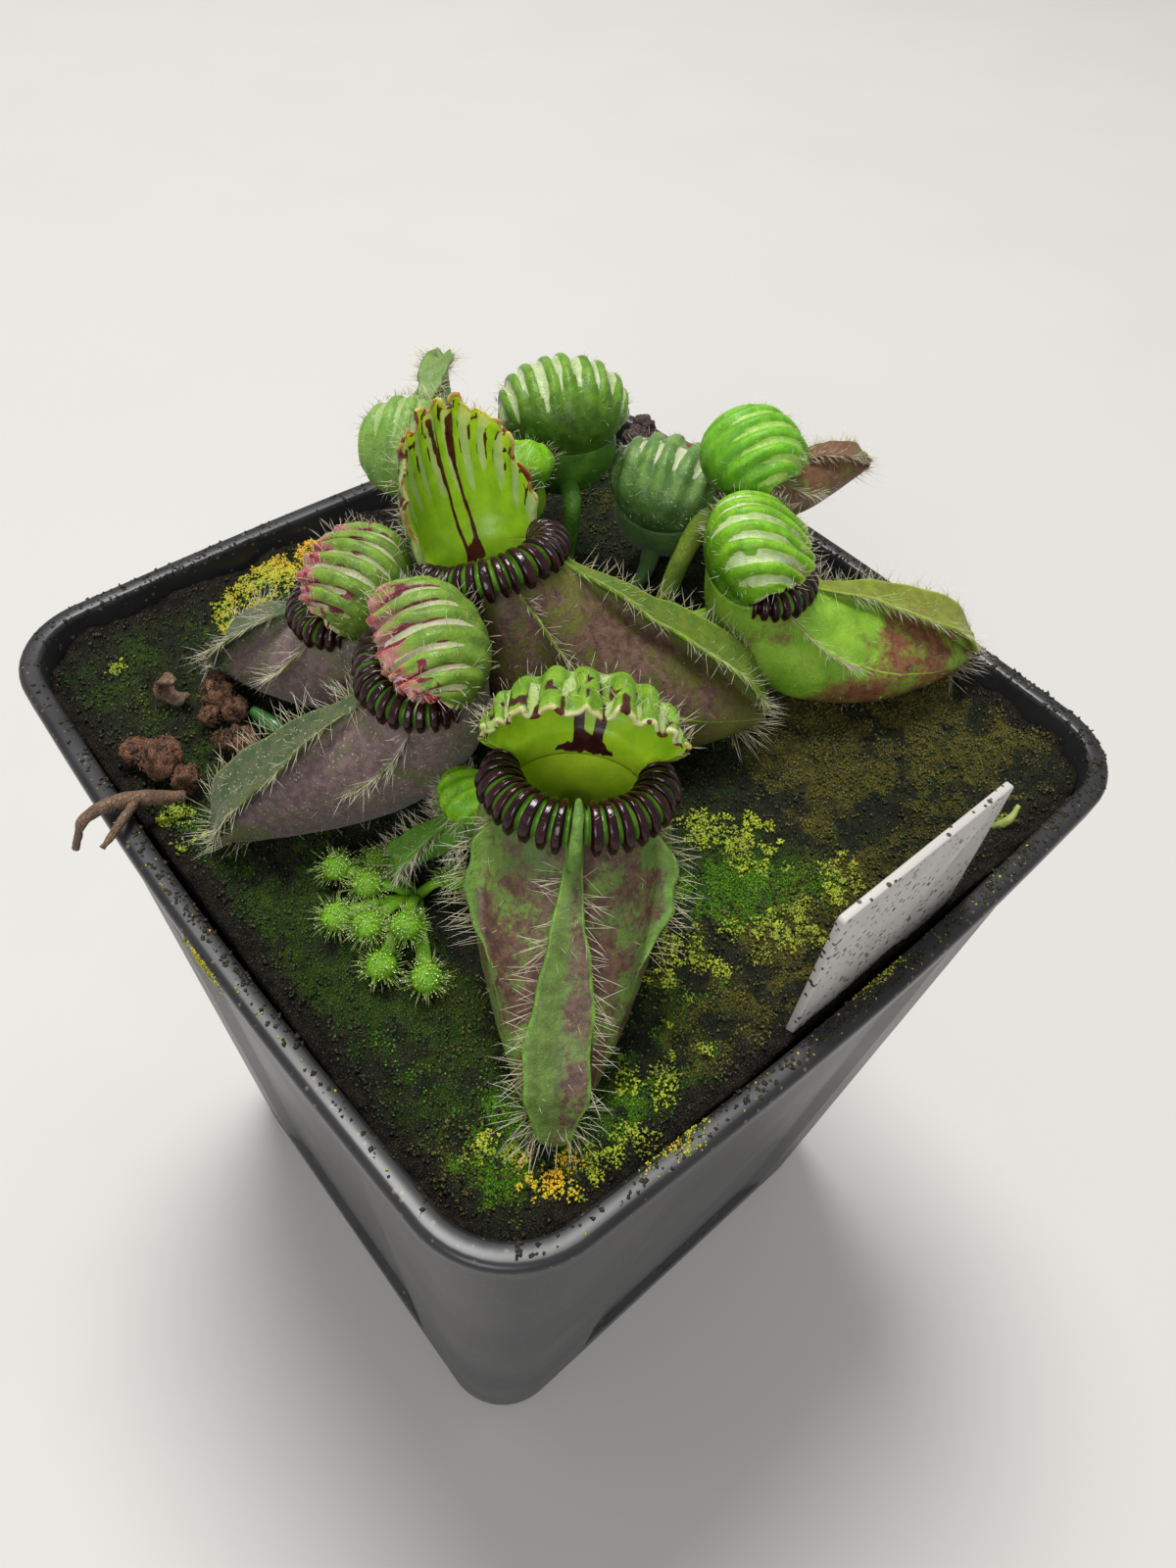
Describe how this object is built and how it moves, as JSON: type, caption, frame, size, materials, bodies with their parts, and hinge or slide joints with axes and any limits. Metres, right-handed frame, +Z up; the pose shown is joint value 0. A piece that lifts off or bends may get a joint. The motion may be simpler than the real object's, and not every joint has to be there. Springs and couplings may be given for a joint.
{
  "type": "potted pitcher plant",
  "caption": "Low pitcher plant with moccasin-shaped ribbed-mouthed cups and hooded lids, ball-lidded young pitchers and a small sundew on mossy soil in a square black pot.",
  "frame": {"origin": "centre of the pot's flat base, on the surface that it stands on", "axes": "+Z up, +X and +Y square to the pot's walls; the corner at -X -Y is the near one, where the largest pitcher points"},
  "size_m": [0.0953, 0.092, 0.1317],
  "materials": {
    "pot": "black injection-moulded nursery pot with a soft grey sheen and dirt specks",
    "soil": "wet dark peat with green, yellow and olive moss on top",
    "cup_bronze": "pitcher body, bronze brown over green, finely bumpy",
    "cup_purple": "pitcher body, grey purple with pale speckle, velvety",
    "cup_green": "pitcher body, bright green with a red brown patch",
    "young_green": "young leaf green",
    "lid_green": "lid, lime green with whitish windows and brown red bands",
    "lid_red": "lid, pale green and white with pink red scalloped edge",
    "peristome": "glossy maroon black ribs",
    "sundew": "glossy bright green with wet tentacles",
    "label": "off-white plastic with dark specks",
    "crumb": "red brown crumbs of peat and bark",
    "dry": "dry brown plant remains"
  },
  "bodies": {
    "root": {"baby_cup": "young_green", "baby_lid": "lid_green", "back_left_cup": "cup_purple", "back_left_lid": "lid_red", "back_left_peristome": "peristome", "ball_back_cup": "young_green", "ball_back_lid": "lid_green", "ball_mid_cup": "young_green", "ball_mid_lid": "lid_green", "bright_cup": "young_green", "bright_lid": "lid_green", "crumb_back": "crumb", "crumb_mid": "crumb", "crumb_rim": "crumb", "dry_curl": "dry", "dry_pitcher": "dry", "dry_root": "dry", "label": "label", "left_cup": "cup_purple", "left_lid": "lid_red", "left_peristome": "peristome", "near_cup": "cup_bronze", "near_lid": "lid_green", "near_peristome": "peristome", "pale_cup": "young_green", "pale_lid": "lid_green", "pot": "pot", "right_cup": "cup_green", "right_lid": "lid_green", "right_peristome": "peristome", "soil": "soil", "sprout": "young_green", "stalked_cup": "young_green", "stalked_lid": "lid_green", "sundew": "sundew", "tall_cup": "cup_bronze", "tall_lid": "lid_green", "tall_peristome": "peristome", "young_leaf": "young_green"}
  },
  "joints": []
}
